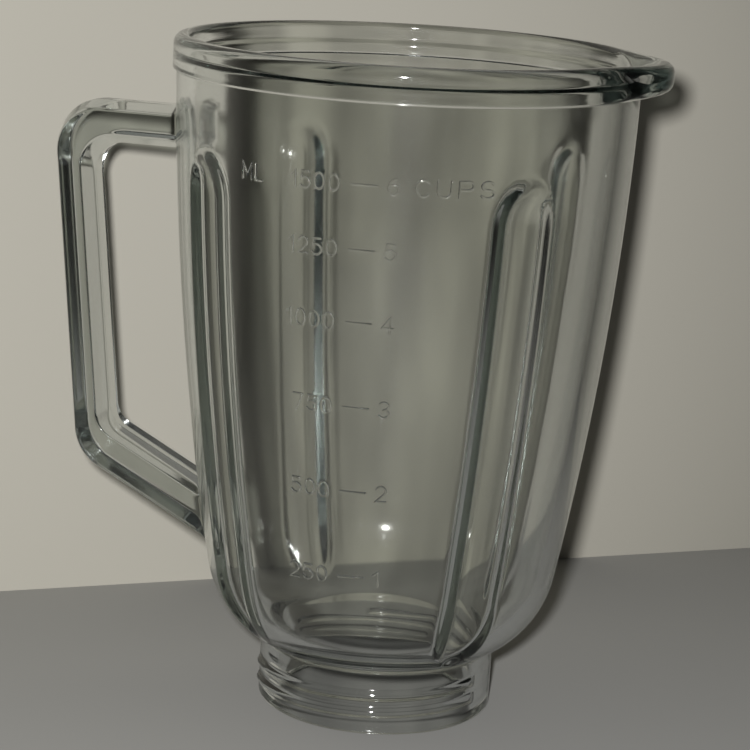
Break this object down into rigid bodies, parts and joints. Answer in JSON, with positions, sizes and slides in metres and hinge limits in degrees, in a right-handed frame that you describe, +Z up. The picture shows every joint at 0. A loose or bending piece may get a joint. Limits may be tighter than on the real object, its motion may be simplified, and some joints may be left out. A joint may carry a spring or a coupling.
{
  "type": "blender jar",
  "caption": "Clear pressed-glass blender jar: tapered fluted body, pouring spout, moulded handle and an open threaded collar at the bottom for a screw-on blade base.",
  "frame": {"origin": "on the jar's axis, in the plane of the collar's bottom face", "axes": "+Z up along the jar's axis, the handle points along -X, the spout along +X, and the measuring scale faces -Y"},
  "size_m": [0.1902, 0.142, 0.207],
  "materials": {
    "glass": "clear, glossy"
  },
  "bodies": {
    "root": {"glass_jar": "glass"}
  },
  "joints": []
}
